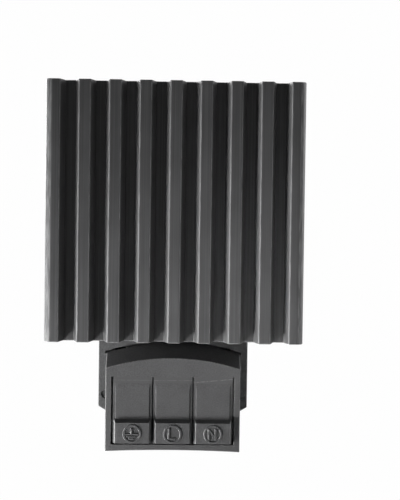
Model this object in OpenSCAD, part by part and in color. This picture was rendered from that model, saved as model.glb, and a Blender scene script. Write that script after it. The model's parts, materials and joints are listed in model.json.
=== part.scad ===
// Enclosure heater: a finned extrusion that hangs on a 35 mm rail, with a lever terminal under it.
// Axes: +X right, +Y to the back, +Z up. Origin: middle of the rail's front face, where the clip seats.

/* [Heatsink] */
// Number of fins on each broad side
fin_count = 9; // [5:2:13]
// Distance from fin to fin
fin_pitch = 10.4; // [9.8:0.1:13]
// Width of a fin's flat tip
fin_tip_w = 4.2; // [3:0.1:5]
// Width of the flat floor between two fins
fin_valley_w = 3.3; // [2.4:0.1:4.2]
// Height of a fin above the floor
fin_depth = 6.4; // [4:0.1:8]
// How far the sides stand out past the tips of the end fins
side_margin = 1.3; // [0.8:0.1:2.5]
// How far the outer flank of an end fin leans in
side_lean = 0.7; // [0.2:0.1:1.2]
// Radius of the outer corner of an end fin
corner_r = 2.6; // [1:0.1:3]
// Depth of the extrusion over the fin tips
body_d = 44; // [40:1:60]
// Length of the extrusion
body_h = 90; // [70:1:200]
// Wall behind the fin floors
floor_wall = 2.6; // [2:0.1:4]
// Wall at the two narrow sides
side_wall = 3; // [2:0.1:5]
// Thickness of the inner ribs
rib_t = 2; // [1.4:0.1:3]
// Radius of the corners inside the flues
flue_r = 0.8; // [0.4:0.1:1.5]
// Radius of the screw ports in the ribs
port_r = 3; // [2.8:0.1:3.3]
// Width of the flat land behind, where the clip sits
land_w = 29; // [28.5:0.5:34]

/* [Heating stack] */
// Width of the channel for the heating stones
channel_w = 28; // [24:1:30]
// Wall before and behind that channel
channel_wall = 3; // [2:0.1:4]
// Width of a heating stone
stone_w = 24; // [18:0.5:24]
// Height of a heating stone
stone_h = 18; // [12:0.5:20]
// Thickness of a heating stone
stone_t = 2.5; // [2:0.1:3]
// Number of heating stones
stone_count = 3; // [1:1:3]
// Space between two stones
stone_gap = 1; // [0.5:0.1:2]
// Thickness of an electrode sheet
electrode_t = 0.5; // [0.3:0.1:0.8]
// Thickness of the insulating film
film_t = 0.2; // [0.1:0.05:0.4]
// Thickness of the plate that presses the stack
plate_t = 2; // [1.5:0.1:3]
// Width of an electrode's solder tab
tab_w = 3; // [2:0.1:3]
// Height of the tabs' lower ends above the extrusion's lower end
tab_inset = 3; // [1:0.5:8]
// Height of the plug that closes the channel
plug_h = 6; // [4:0.5:10]
// Depth of the plug below the extrusion's upper end
plug_inset = 1; // [0.5:0.5:4]

/* [Terminal base] */
// Width of the base over its flanks
base_w = 52; // [51:0.5:56]
// Length of the flanks below the extrusion
flank_h = 23.2; // [20:0.1:26]
// Slope under the flanks in degrees
flank_slope = 31; // [20:1:45]
// Wall of the base at the sides of its foot
foot_wall = 2.7; // [2.2:0.1:3]
// Height of the base
base_h = 36; // [34:0.1:36.5]
// Room behind the screws in the base
base_back_room = 1.1; // [0.6:0.1:1.6]
// Wall of the base at its top
base_top_t = 2.6; // [2:0.1:3.5]
// Wall of the base at its back and bottom
base_wall = 2.4; // [2:0.1:2.8]
// Depth of the groove in the base along the cover's roof
groove_depth = 1.2; // [0.8:0.1:2]
// Height of that groove above the roof
groove_gap = 0.45; // [0.3:0.05:0.7]
// Wall of the base over that groove
groove_wall = 0.6; // [0.5:0.05:1]
// Width of the walls between the poles
partition_t = 1.4; // [1:0.1:2]
// How far those walls stand back from the base's front
partition_setback = 0.5; // [0.3:0.1:2]
// Height of the posts behind the contact strips
post_h = 4; // [2:0.5:6]
// Height of the posts above the springs' tips
post_rise = 2; // [0.5:0.5:4]
// Radius of a wire's way in
wire_r = 1.6; // [1.2:0.1:2]
// Room round the leads in the base's top
lead_room = 0.9; // [0.5:0.1:1.2]
// Radius of the round mark on a flank
mark_r = 1.45; // [1:0.05:1.6]
// Depth of that mark
mark_depth = 0.6; // [0.2:0.1:1]
// Level of that mark below the extrusion
mark_drop = 19; // [10:0.5:20]
// How far the mark's middle lies outside the cover
mark_out = 0.3; // [0:0.1:1]

/* [Terminal cover] */
// Width of the cover
cover_w = 46.5; // [46.3:0.1:48]
// How far the cover's front lies behind the fin tips
cover_setback = 2.5; // [1:0.1:4]
// Depth of the cover in front of the base
cover_d = 7.5; // [6.5:0.1:9]
// Height of the cover's lower corners below the extrusion
cover_drop = 37.8; // [37:0.1:39]
// How much the lower edge rises at the middle
cover_bottom_rise = 0.55; // [0.2:0.05:1]
// Level of the roof's front edge at the middle, below the extrusion
roof_front_drop = 5.4; // [5:0.1:6.5]
// Level of the roof's rear edge at the middle, below the extrusion
roof_rear_drop = 0.8; // [0.5:0.1:1.5]
// Radius of the roof's front arch
roof_arch_r = 77; // [65:1:120]
// Wall of the cover's front, and thickness of a lever
cover_wall = 1.6; // [1.2:0.1:2]
// Wall of the cover's sides
cover_side_t = 1.85; // [1.5:0.05:2.1]
// Height of the bar under the levers at the corners
cover_bar_h = 2.5; // [2.2:0.1:3]
// Level of the upper snap tongues below the extrusion
latch_upper_drop = 9; // [8:0.5:12]
// Level of the lower snap tongues below the extrusion
latch_lower_drop = 31; // [28:0.5:31]
// Height of a snap tongue
latch_h = 5; // [3:0.5:6]
// Thickness of a snap tongue
latch_t = 1.5; // [1:0.1:2]
// Reach of a snap tongue into the base
latch_reach = 6; // [4:0.5:8]
// Length of a snap tongue's root in the cover
latch_root = 2.5; // [1.5:0.1:4]
// Height of a snap tongue's barb
latch_barb = 0.5; // [0.3:0.05:0.7]
// Length of a snap tongue's barb
latch_barb_l = 2; // [1:0.1:3]

/* [Levers] */
// Distance from lever to lever
lever_pitch = 13.9; // [13.6:0.1:14]
// Gap beside a lever
lever_gap = 0.5; // [0.4:0.05:0.8]
// Level of the levers' hinge line below the extrusion
hinge_drop = 13.1; // [12.5:0.1:14]
// Gap along the hinge line
hinge_gap = 0.3; // [0.2:0.05:0.5]
// How far the side slots run up past the hinge line
slot_over = 1.2; // [0.5:0.1:2]
// Gap under a lever
lever_foot_gap = 0.4; // [0.3:0.05:0.8]
// Width of the raised panel on a lever
panel_w = 11.9; // [10:0.1:12.2]
// Height of the raised panel
panel_rise = 0.4; // [0.2:0.05:0.6]
// Distance of the panel's upper end from the hinge line
panel_inset = 0.75; // [0.5:0.05:2]
// Length over which the panel rises
panel_run = 2.25; // [0.5:0.05:4]
// Width of a pad at its root
pad_w = 12.7; // [11:0.1:12.9]
// Height of a pad's front above the cover
pad_rise = 2.4; // [1.5:0.1:2.4]
// Height of the pad's flat front
pad_h = 7.4; // [6:0.1:8.5]
// Run of the slope above the pad
pad_ramp = 1.15; // [0.6:0.05:2]
// Lean of the pad's sides
pad_draft = 0.5; // [0.2:0.05:0.8]
// Width of the finger behind a lever
finger_w = 4; // [3:0.1:4.8]
// Height of the finger
finger_h = 3; // [2:0.1:4]
// Distance of the finger's top from the hinge line
finger_drop = 2; // [1.6:0.1:3]
// Gap between the finger's end and the clamp spring
finger_gap = 0.35; // [0.3:0.05:0.6]
// Travel of a lever in degrees
lever_travel = 6; // [3:0.5:7]

/* [Contacts] */
// Width of a contact strip
strip_w = 6; // [5:0.1:7]
// Thickness of a contact strip
strip_t = 0.8; // [0.6:0.1:1]
// Width of a clamp spring
spring_w = 5; // [4:0.1:6]
// Thickness of a clamp spring
spring_t = 0.5; // [0.3:0.05:0.6]
// Middle radius of a clamp spring's bend
spring_r = 2.4; // [2:0.1:2.8]
// Height of that bend's centre above the hinge line
spring_rise = 2.4; // [2:0.1:4]
// Length of a spring's foot on its strip
spring_foot_l = 5; // [3:0.5:7]
// Height of a spring's leaning leg
spring_leg_h = 15; // [13:0.5:16]
// Gap between a spring's tip and its strip
spring_tip_gap = 0.4; // [0.3:0.05:0.6]
// Radius of a lead's conductor
conductor_r = 0.6; // [0.4:0.05:0.7]
// Radius of a lead over its insulation
lead_r = 1.1; // [0.9:0.05:1.3]
// Length of a lead's bare ends outside the insulation's ends
bare_l = 0.3; // [0.2:0.1:1]
// Length of a conductor along its solder tab
solder_l = 4.4; // [3:0.1:6]
// Level of the crimps' upper ends below the extrusion
crimp_drop = 4.2; // [3.8:0.1:6]
// Height of a crimp
crimp_h = 3.4; // [3:0.1:4.5]
// Wall of a crimp
crimp_wall = 0.9; // [0.6:0.05:1.1]
// How far a conductor stops short of the crimp's lower end
crimp_end = 0.4; // [0.2:0.1:1]

/* [Rail clip] */
// Height of the rail that the clip takes
rail_h = 35; // [32:1:50]
// Thickness of the rail's edge
rail_t = 1; // [1:0.1:1.5]
// Width of the clip
clip_w = 28; // [24:1:28]
// Thickness of the clip's plate
clip_t = 4; // [3.5:0.1:6]
// Depth of the hooks behind the rail's edge
hook_t = 2.8; // [2:0.1:4]
// Reach of the upper hook behind the rail
hook_reach = 2.6; // [2:0.1:4]
// Thickness of the wall above and below the rail
hook_wall = 4; // [3:0.1:6]
// Reach of the sprung catch behind the rail
catch_reach = 2; // [1.5:0.1:3]
// Bevels on the hooks' back edges
hook_bevel = 1; // [0.5:0.1:1.5]
// Lead-in bevels on the hooks' lips
lip_bevel = 0.8; // [0.4:0.1:1]
// Width of the tongue that carries the catch
tongue_w = 14; // [11:0.5:18]
// Length of the tongue that carries the catch
tongue_l = 9; // [6:0.5:10]
// Width of the slits beside the tongue
tongue_slit = 1.2; // [0.8:0.1:2]
// Height of the pull tab under the catch
pull_h = 6; // [5:0.5:10]
// Width of the pull tab
pull_w = 10; // [8:0.5:11]
// Thickness of the pull tab
pull_t = 2.5; // [2:0.1:3]
// How far the pull tab stands clear of the extrusion
pull_setback = 0.5; // [0.3:0.1:1]
// Width of the screwdriver slot in the pull tab
pull_slot_w = 5; // [4:0.5:6]
// Height of that slot
pull_slot_h = 2; // [1:0.1:2.5]
// Height of the strip under that slot
pull_foot_h = 1.8; // [1.2:0.1:2.5]
// Distance between the clip's screws
clip_screw_pitch = 18; // [12:1:22]

/* [Fasteners] */
// Distance of the base's screws from the middle
base_screw_x = 17; // [16.5:0.1:17.5]
// Distance of the earth screw from the middle
earth_screw_out = 8; // [7:0.1:9]
// Radius of the screws that hold the base
base_screw_r = 1.4; // [1.2:0.05:1.6]
// Radius of the earth screw
earth_screw_r = 1.4; // [1.2:0.05:1.6]
// Radius of the clip's screws
clip_screw_r = 1.6; // [1.4:0.05:2]
// Radius of a screw's head
screw_head_r = 2.7; // [2.4:0.05:2.8]
// Height of a screw's head
screw_head_h = 1.9; // [1.5:0.1:2.4]
// Bevel round the top of a screw's head
head_bevel = 0.6; // [0.3:0.1:1]
// Room beside a screw's head in the base
head_room = 0.3; // [0.25:0.05:0.5]
// Length of the base and earth screws in the extrusion
screw_grip = 10; // [6:0.5:14]
// Length of the clip's screws in the extrusion
clip_screw_grip = 6; // [4:0.5:6.5]

/* [Fits] */
// Gap between pieces that slide into each other
slide_gap = 0.2; // [0.1:0.05:0.3]
// Gap between a screw and its hole
screw_gap = 0.05; // [0.03:0.01:0.1]
// Play behind the heating stack in its channel
stack_gap = 0.1; // [0.05:0.05:0.2]
// Gap between a conductor and its solder tab
solder_gap = 0.05; // [0.02:0.01:0.1]
// Extra length of a cut past the face that it goes through
through = 1; // [0.5:0.5:3]
// How far a rib or tab roots in the wall that carries it
root = 0.5; // [0.2:0.1:1]

/* [Hidden] */
$fn = 64;
arc_steps = 6;
corner_steps = 3;

// Levels and planes
bottom_z = -body_h / 2;
top_z = body_h / 2;
rear_y = -clip_t;
tip_y = rear_y - body_d;
mid_y = rear_y - body_d / 2;
cover_front_y = tip_y + cover_setback;
base_front_y = cover_front_y + cover_d;

// Extrusion section, drawn about its own middle
end_fin_x = (fin_count - 1) / 2 * fin_pitch;
body_w = 2 * end_fin_x + fin_tip_w + 2 * side_margin;
fin_root_w = fin_pitch - fin_valley_w;
floor_y = body_d / 2 - fin_depth;
inner_y = floor_y - floor_wall;
lean_depth = fin_depth + floor_wall;
lean_angle = atan(side_lean / lean_depth);

// Heating stack, from the channel's front wall to the back
channel_d = 2 * film_t + 2 * electrode_t + stone_t + plate_t + stack_gap;
block_y = channel_d / 2 + channel_wall;
channel_front_y = mid_y - channel_d / 2;
stone_y = channel_front_y + film_t + electrode_t;
stack_y = stone_y + stone_t / 2;
plate_y = stone_y + stone_t + electrode_t + film_t;
stones_h = stone_count * stone_h + (stone_count - 1) * stone_gap;
tab_z = bottom_z + tab_inset;
sleeve_w = stone_w + 2 * film_t;

// Screws in the ribs behind the heating channel
port_y = (block_y + inner_y) / 2;
earth_screw_x = -earth_screw_out;
screws_y = mid_y + port_y;
base_back_y = screws_y + port_r + base_back_room + base_wall;

// Terminal poles
pole_x = [-lever_pitch, 0, lever_pitch];
line_lead_x = 0;
neutral_lead_x = lever_pitch - strip_w / 2 - strip_t / 2;
lead_side = conductor_r + solder_gap;
lead_way = lead_r + lead_room;
base_room_w = 2 * (base_screw_x + screw_head_r + head_room);
base_foot_w = base_room_w + 2 * foot_wall;
room_z0 = bottom_z - base_h + base_wall;
room_z1 = bottom_z - base_top_t;
room_y1 = base_back_y - base_wall;
strip_front_y = stack_y - strip_t / 2;
strip_rear_y = stack_y + strip_t / 2;
wire_y = strip_front_y - wire_r;
crimp_z = bottom_z - crimp_drop;
crimp_foot_z = crimp_z - crimp_h;

// Cover
hinge_z = bottom_z - hinge_drop;
cover_z = bottom_z - cover_drop;
window_w = len(pole_x) * lever_pitch + lever_gap;
window_z = cover_z + cover_bar_h;
lever_w = lever_pitch - lever_gap;
lever_top_z = hinge_z - hinge_gap / 2;
lever_foot_z = window_z + lever_foot_gap;
pad_front_y = cover_front_y - pad_rise;
roof_slope = atan((roof_front_drop - roof_rear_drop) / cover_d);
roof_r = roof_arch_r / cos(roof_slope);
bottom_arch_r = (cover_w * cover_w / 4 + cover_bottom_rise * cover_bottom_rise) / (2 * cover_bottom_rise);
arch_fn = 256;
mark_x = cover_w / 2 + mark_out;
latch_z = [bottom_z - latch_upper_drop, bottom_z - latch_lower_drop];
latch_x1 = base_room_w / 2 - slide_gap;

// Clamp spring levels, and the lever finger that meets it
spring_top_z = hinge_z + spring_rise;
spring_tip_z = spring_top_z - spring_leg_h;
spring_out = 2 * spring_r + spring_t;
finger_top_z = hinge_z - finger_drop;
spring_lean = (spring_out - spring_tip_gap) / (spring_top_z - spring_tip_z);
finger_end_y = strip_front_y - spring_out - spring_t / 2
               + (spring_top_z - finger_top_z) * spring_lean - finger_gap - spring_t / 2;

// Rail clip levels
rail_top_z = rail_h / 2 + slide_gap;
rail_slot_y = rail_t + 2 * slide_gap;
clip_top_z = rail_top_z + hook_wall;

// Colours
anodised = [0.16, 0.16, 0.165];
black_plastic = [0.30, 0.30, 0.30];
ceramic = [0.55, 0.52, 0.48];
tinned = [0.78, 0.77, 0.74];
film = [0.78, 0.50, 0.18];
silicone = [0.25, 0.25, 0.26];
steel = [0.72, 0.73, 0.74];

// Points along a round stretch, from one angle to another
function arc(centre, r, from, to, steps = arc_steps) =
    [for (i = [0 : steps]) let (a = from + (to - from) * i / steps) centre + r * [cos(a), sin(a)]];

// Points turned over to the other side of an axis where its sign is -1, kept counter-clockwise
function flip(points, x_sign, y_sign) =
    let (last = len(points) - 1)
    [for (i = [0 : last])
        let (p = points[x_sign * y_sign > 0 ? i : last - i]) [x_sign * p[0], y_sign * p[1]]];

// Rectangle with small round corners, from its low to its high corner
module round_rect(low, high, r) {
    polygon(concat(arc([high[0] - r, high[1] - r], r, 0, 90, corner_steps),
                   arc([low[0] + r, high[1] - r], r, 90, 180, corner_steps),
                   arc([low[0] + r, low[1] + r], r, 180, 270, corner_steps),
                   arc([high[0] - r, low[1] + r], r, 270, 360, corner_steps)));
}

// Extrudes a front outline (x, z) from y0 back to y1
module front_extrude(y0, y1) {
    translate([0, y1, 0]) rotate([90, 0, 0]) linear_extrude(y1 - y0) children();
}

// Extrudes a side outline (y, z) from x0 to x1
module side_extrude(x0, x1) {
    translate([x0, 0, 0]) rotate([90, 0, 90]) linear_extrude(x1 - x0) children();
}

// Box from its low to its high corner
module box(low, high) {
    translate(low) cube(high - low);
}

// One inner fin, as a trapezoid that roots in the floor wall
module fin_outline(x, y_sign) {
    polygon(flip([[x - fin_root_w / 2, -inner_y], [x - fin_root_w / 2, -floor_y],
                  [x - fin_tip_w / 2, -body_d / 2], [x + fin_tip_w / 2, -body_d / 2],
                  [x + fin_root_w / 2, -floor_y], [x + fin_root_w / 2, -inner_y]], 1, y_sign));
}

// An end fin: its outer flank leans in and its outer corner is round
module end_fin_outline(x_sign, y_sign) {
    arc_y = -body_d / 2 + corner_r;
    arc_x = body_w / 2 - (corner_r - (arc_y + inner_y) * sin(lean_angle)) / cos(lean_angle);
    root_x = end_fin_x - fin_root_w / 2;
    polygon(flip(concat([[root_x, -inner_y + rib_t], [root_x, -floor_y],
                         [end_fin_x - fin_tip_w / 2, -body_d / 2]],
                        arc([arc_x, arc_y], corner_r, -90, -lean_angle),
                        [[body_w / 2, -inner_y], [body_w / 2, -inner_y + rib_t]]), x_sign, y_sign));
}

// Both broad sides with all their fins
module fin_rows() {
    for (y_sign = [-1, 1]) {
        for (i = [1 : fin_count - 2])
            fin_outline(i * fin_pitch - end_fin_x, y_sign);
        for (x_sign = [-1, 1])
            end_fin_outline(x_sign, y_sign);
    }
}

// Hollows of one quarter of the section: two upright flues beside the heating channel
module flue_outlines() {
    flue_x0 = base_screw_x + rib_t / 2;
    flue_x1 = body_w / 2 - side_wall;
    flue_w = (flue_x1 - flue_x0 - rib_t) / 2;
    for (x = [flue_x0, flue_x0 + flue_w + rib_t])
        round_rect([x, rib_t / 2], [x + flue_w, inner_y], flue_r);
}

// Hollows between the heating channel and a broad side
module flat_flue_outlines() {
    round_rect([-earth_screw_out + rib_t / 2, block_y], [earth_screw_out - rib_t / 2, inner_y], flue_r);
    for (side = [0, 1])
        mirror([side, 0])
            round_rect([earth_screw_out + rib_t / 2, block_y], [base_screw_x - rib_t / 2, inner_y], flue_r);
}

module heatsink_outline() {
    difference() {
        union() {
            square([body_w, 2 * inner_y], center = true);
            square([2 * end_fin_x, 2 * floor_y], center = true);
            fin_rows();
            translate([-land_w / 2, 0]) square([land_w, body_d / 2]);
        }
        square([channel_w, channel_d], center = true);
        for (mx = [0, 1], my = [0, 1])
            mirror([mx, 0]) mirror([0, my]) flue_outlines();
        for (my = [0, 1])
            mirror([0, my]) flat_flue_outlines();
    }
    for (x = [-base_screw_x, earth_screw_x, base_screw_x])
        translate([x, port_y]) circle(r = port_r);
}

module heatsink() {
    color(anodised) difference() {
        translate([0, mid_y, bottom_z]) linear_extrude(body_h) heatsink_outline();
        for (x = [-base_screw_x, base_screw_x])
            translate([x, screws_y, bottom_z - through])
                cylinder(r = base_screw_r + screw_gap, h = screw_grip + 2 * through);
        translate([earth_screw_x, screws_y, bottom_z - through])
            cylinder(r = earth_screw_r + screw_gap, h = screw_grip + 2 * through);
        for (z = [-1, 1])
            translate([0, rear_y + through, z * clip_screw_pitch / 2]) rotate([90, 0, 0])
                cylinder(r = clip_screw_r + screw_gap, h = clip_screw_grip + 2 * through);
    }
}

// A sheet or plate of the heating stack, centred on the channel
module stack_plate(w, y, t, z0, z1) {
    box([-w / 2, y, z0], [w / 2, y + t, z1]);
}

module ptc_stones() {
    color(ceramic) for (i = [0 : stone_count - 1])
        stack_plate(stone_w, stone_y, stone_t, -stones_h / 2 + i * (stone_h + stone_gap),
                    -stones_h / 2 + i * (stone_h + stone_gap) + stone_h);
}

// Electrode sheet with a solder tab that runs down to the channel's mouth
module electrode(y, tab_x) {
    color(tinned) {
        stack_plate(stone_w, y, electrode_t, -stones_h / 2 - stone_gap, stones_h / 2 + stone_gap);
        box([tab_x - tab_w / 2, y, tab_z], [tab_x + tab_w / 2, y + electrode_t, -stones_h / 2]);
    }
}

module electrode_front() {
    electrode(stone_y - electrode_t, line_lead_x);
}

module electrode_rear() {
    electrode(stone_y + stone_t, neutral_lead_x);
}

module insulation_sleeve() {
    z0 = -stones_h / 2 - 2 * stone_gap;
    z1 = stones_h / 2 + 2 * stone_gap;
    color(film) difference() {
        stack_plate(sleeve_w, channel_front_y, plate_y - channel_front_y, z0, z1);
        stack_plate(stone_w, stone_y - electrode_t, stone_t + 2 * electrode_t, z0 - through, z1 + through);
    }
}

module pressure_plate() {
    color(tinned) stack_plate(sleeve_w, plate_y, plate_t, -stones_h / 2 - 2 * stone_gap,
                              stones_h / 2 + 2 * stone_gap);
}

module channel_plug() {
    color(silicone) box([-channel_w / 2, channel_front_y, top_z - plug_inset - plug_h],
                        [channel_w / 2, channel_front_y + channel_d, top_z - plug_inset]);
}

// Insulated lead with bare ends, from a solder tab straight down into a crimp
module lead(x, y) {
    color(film) {
        translate([x, y, crimp_foot_z + crimp_end])
            cylinder(r = conductor_r, h = tab_z + solder_l - crimp_foot_z - crimp_end);
        translate([x, y, crimp_z + bare_l]) cylinder(r = lead_r, h = tab_z - crimp_z - 2 * bare_l);
    }
}

module line_lead() {
    lead(line_lead_x, stone_y + lead_side);
}

module neutral_lead() {
    lead(neutral_lead_x, stone_y + stone_t - lead_side);
}

// Front outline of the base: broad flanks, sloped in below to the foot
module base_outline() {
    slope_h = (base_w - base_foot_w) / 2 * tan(flank_slope);
    polygon([[-base_w / 2, bottom_z], [-base_w / 2, bottom_z - flank_h],
             [-base_foot_w / 2, bottom_z - flank_h - slope_h], [-base_foot_w / 2, bottom_z - base_h],
             [base_foot_w / 2, bottom_z - base_h], [base_foot_w / 2, bottom_z - flank_h - slope_h],
             [base_w / 2, bottom_z - flank_h], [base_w / 2, bottom_z]]);
}

// Band along the edge of the cover's roof, cut into the base's front
module roof_groove() {
    groove_x = cover_w / 2 + groove_gap;
    intersection() {
        box([-groove_x, base_front_y - through, room_z0],
            [groove_x, base_front_y + groove_depth, bottom_z - groove_wall]);
        difference() {
            under_roof(-groove_gap);
            under_roof(groove_gap);
        }
    }
}

module terminal_base() {
    color(black_plastic) difference() {
        union() {
            difference() {
                front_extrude(base_front_y, base_back_y) base_outline();
                box([-base_room_w / 2, base_front_y + groove_depth, room_z0],
                    [base_room_w / 2, room_y1, room_z1]);
                intersection() {
                    box([-base_room_w / 2, base_front_y - through, room_z0],
                        [base_room_w / 2, base_front_y + groove_depth + through, room_z1]);
                    under_roof(0);
                }
                roof_groove();
            }
            for (x = [-lever_pitch / 2, lever_pitch / 2])
                box([x - partition_t / 2, base_front_y + partition_setback, room_z0 - root],
                    [x + partition_t / 2, room_y1 + root, crimp_foot_z]);
            for (x = pole_x)
                box([x - strip_w / 2, strip_rear_y, spring_tip_z + post_rise],
                    [x + strip_w / 2, room_y1 + root, spring_tip_z + post_rise + post_h]);
        }
        for (x = pole_x)
            translate([x, wire_y, bottom_z - base_h - through])
                cylinder(r = wire_r, h = base_wall + 2 * through);
        for (x = [-base_screw_x, base_screw_x]) {
            translate([x, screws_y, room_z1 - through])
                cylinder(r = base_screw_r + slide_gap, h = base_top_t + 2 * through);
            translate([x, screws_y, bottom_z - base_h - through])
                cylinder(r = screw_head_r + slide_gap, h = base_wall + 2 * through);
        }
        box([line_lead_x - lead_way, stack_y - lead_way, room_z1 - through],
            [neutral_lead_x + lead_way, stack_y + lead_way, bottom_z + through]);
        box([pole_x[0] - strip_w / 2 - slide_gap, strip_front_y - slide_gap, room_z1 - through],
            [pole_x[0] + strip_w / 2 + slide_gap, screws_y - port_r + slide_gap, bottom_z + through]);
        box([pole_x[0] - slide_gap, screws_y - port_r - slide_gap, room_z1 - through],
            [earth_screw_x + port_r + slide_gap, screws_y + port_r + slide_gap, bottom_z + through]);
        for (x = [-mark_x, mark_x])
            translate([x, base_front_y + mark_depth, bottom_z - mark_drop]) rotate([90, 0, 0])
                cylinder(r = mark_r, h = mark_depth + through);
        for (side = [-1, 1], z = latch_z)
            box([side * (base_room_w / 2 + latch_barb / 2 + slide_gap / 2) - latch_barb / 2 - slide_gap,
                 base_front_y + latch_reach - latch_barb_l - slide_gap, z - latch_h / 2 - slide_gap],
                [side * (base_room_w / 2 + latch_barb / 2 + slide_gap / 2) + latch_barb / 2 + slide_gap,
                 base_front_y + latch_reach + slide_gap, z + latch_h / 2 + slide_gap]);
    }
}

// One snap tongue on the right side, which reaches into the base, with its barb
module latch(z) {
    box([latch_x1 - latch_t, base_front_y - latch_root, z - latch_h / 2],
        [latch_x1, base_front_y + latch_reach, z + latch_h / 2]);
    box([latch_x1 - latch_t, base_front_y - latch_root, z - latch_h / 2],
        [cover_w / 2 - cover_side_t / 2, base_front_y, z + latch_h / 2]);
    end_y = base_front_y + latch_reach;
    translate([0, 0, z - latch_h / 2]) linear_extrude(latch_h)
        polygon([[latch_x1 - latch_t / 2, end_y - latch_barb_l],
                 [latch_x1 + latch_barb, end_y - latch_barb_l],
                 [latch_x1, end_y], [latch_x1 - latch_t / 2, end_y]]);
}

// Everything under the arched, sloping roof, at a given depth below its surface
module under_roof(inset) {
    translate([0, cover_front_y + roof_r * sin(roof_slope),
               bottom_z - roof_front_drop - roof_r * cos(roof_slope)]) rotate([roof_slope - 90, 0, 0])
        cylinder(r = roof_r - inset, h = 4 * cover_w, center = true, $fn = arch_fn);
}

module terminal_cover() {
    color(black_plastic) {
        difference() {
            intersection() {
                box([-cover_w / 2, cover_front_y, cover_z], [cover_w / 2, base_front_y, bottom_z]);
                under_roof(0);
            }
            intersection() {
                box([-cover_w / 2 + cover_side_t, cover_front_y + cover_wall, window_z],
                    [cover_w / 2 - cover_side_t, base_front_y + through, bottom_z]);
                under_roof(cover_wall);
            }
            box([-window_w / 2, cover_front_y - through, window_z],
                [window_w / 2, cover_front_y + cover_wall + through, hinge_z + hinge_gap / 2]);
            for (i = [0 : len(pole_x)])
                translate([(i - len(pole_x) / 2) * lever_pitch - lever_gap / 2, cover_front_y - through,
                           hinge_z])
                    cube([lever_gap, cover_wall + 2 * through, slot_over]);
            translate([0, cover_front_y - through, cover_z + cover_bottom_rise - bottom_arch_r])
                rotate([-90, 0, 0]) cylinder(r = bottom_arch_r, h = cover_d + 2 * through, $fn = arch_fn);
        }
        for (z = latch_z) {
            latch(z);
            mirror([1, 0, 0]) latch(z);
        }
    }
}

// Raised block on a lever: a side outline (y, z) cut to a width that narrows towards the front
module raised(outline, w, lean, rise) {
    root_y = cover_front_y + cover_wall / 2;
    intersection() {
        side_extrude(-w / 2, w / 2) polygon(outline);
        translate([0, 0, cover_z]) linear_extrude(cover_drop)
            polygon([[-w / 2, root_y], [-w / 2, cover_front_y], [-w / 2 + lean, cover_front_y - rise],
                     [w / 2 - lean, cover_front_y - rise], [w / 2, cover_front_y], [w / 2, root_y]]);
    }
}

// Press lever: a tongue with a raised panel, a pad with drafted sides and a finger behind
module lever(x) {
    ramp_z = lever_foot_z + pad_h + pad_ramp;
    relief = cover_wall * tan(lever_travel);
    root_y = cover_front_y + cover_wall / 2;
    panel_y = cover_front_y - panel_rise;
    panel_z = lever_top_z - panel_inset;
    color(black_plastic) translate([x, 0, 0]) {
        side_extrude(-lever_w / 2, lever_w / 2)
            polygon([[cover_front_y, lever_top_z], [cover_front_y, lever_foot_z],
                     [cover_front_y + cover_wall, lever_foot_z],
                     [cover_front_y + cover_wall, lever_top_z - relief]]);
        raised([[root_y, ramp_z], [cover_front_y, ramp_z], [pad_front_y, ramp_z - pad_ramp],
                [pad_front_y, lever_foot_z + pad_draft / 2], [cover_front_y, lever_foot_z],
                [root_y, lever_foot_z]], pad_w, pad_draft, pad_rise);
        raised([[root_y, panel_z - panel_run], [cover_front_y, panel_z], [panel_y, panel_z - panel_run],
                [panel_y, ramp_z - pad_ramp / 2], [root_y, ramp_z - pad_ramp / 2]],
               panel_w, panel_rise / 2, panel_rise);
        box([-finger_w / 2, root_y, finger_top_z - finger_h], [finger_w / 2, finger_end_y, finger_top_z]);
    }
}

module earth_lever() {
    lever(pole_x[0]);
}

module line_lever() {
    lever(pole_x[1]);
}

module neutral_lever() {
    lever(pole_x[2]);
}

// Upright contact strip of one pole
module strip(x, z1) {
    box([x - strip_w / 2, strip_front_y, room_z0], [x + strip_w / 2, strip_rear_y, z1]);
}

// Earth strip: an eye under the earth screw, an arm past the base's screw, then down to the terminal
module earth_contact() {
    x0 = pole_x[0] - strip_w / 2;
    x1 = pole_x[0] + strip_w / 2;
    arm_y0 = screws_y - strip_w / 2;
    arm_y1 = screws_y + strip_w / 2;
    color(tinned) difference() {
        union() {
            strip(pole_x[0], bottom_z);
            translate([0, 0, bottom_z - strip_t]) linear_extrude(strip_t)
                polygon([[x0, strip_front_y], [x1, strip_front_y], [x1, arm_y0], [earth_screw_x, arm_y0],
                         [earth_screw_x, arm_y1], [pole_x[0], arm_y1], [pole_x[0], arm_y0], [x0, arm_y0]]);
            translate([earth_screw_x, screws_y, bottom_z - strip_t]) cylinder(r = strip_w / 2, h = strip_t);
        }
        translate([earth_screw_x, screws_y, bottom_z - strip_t - through])
            cylinder(r = earth_screw_r + slide_gap, h = strip_t + 2 * through);
    }
}

// Current strip with a crimp for its lead at the top
module current_strip(x, lead_x, lead_y) {
    color(tinned) difference() {
        union() {
            strip(x, crimp_z - crimp_h / 2);
            translate([lead_x, lead_y, crimp_foot_z])
                cylinder(r = conductor_r + screw_gap + crimp_wall, h = crimp_h);
        }
        translate([lead_x, lead_y, crimp_foot_z - through])
            cylinder(r = conductor_r + screw_gap, h = crimp_h + 2 * through);
    }
}

module line_contact() {
    current_strip(pole_x[1], line_lead_x, stone_y + lead_side);
}

module neutral_contact() {
    current_strip(pole_x[2], neutral_lead_x, stone_y + stone_t - lead_side);
}

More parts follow.
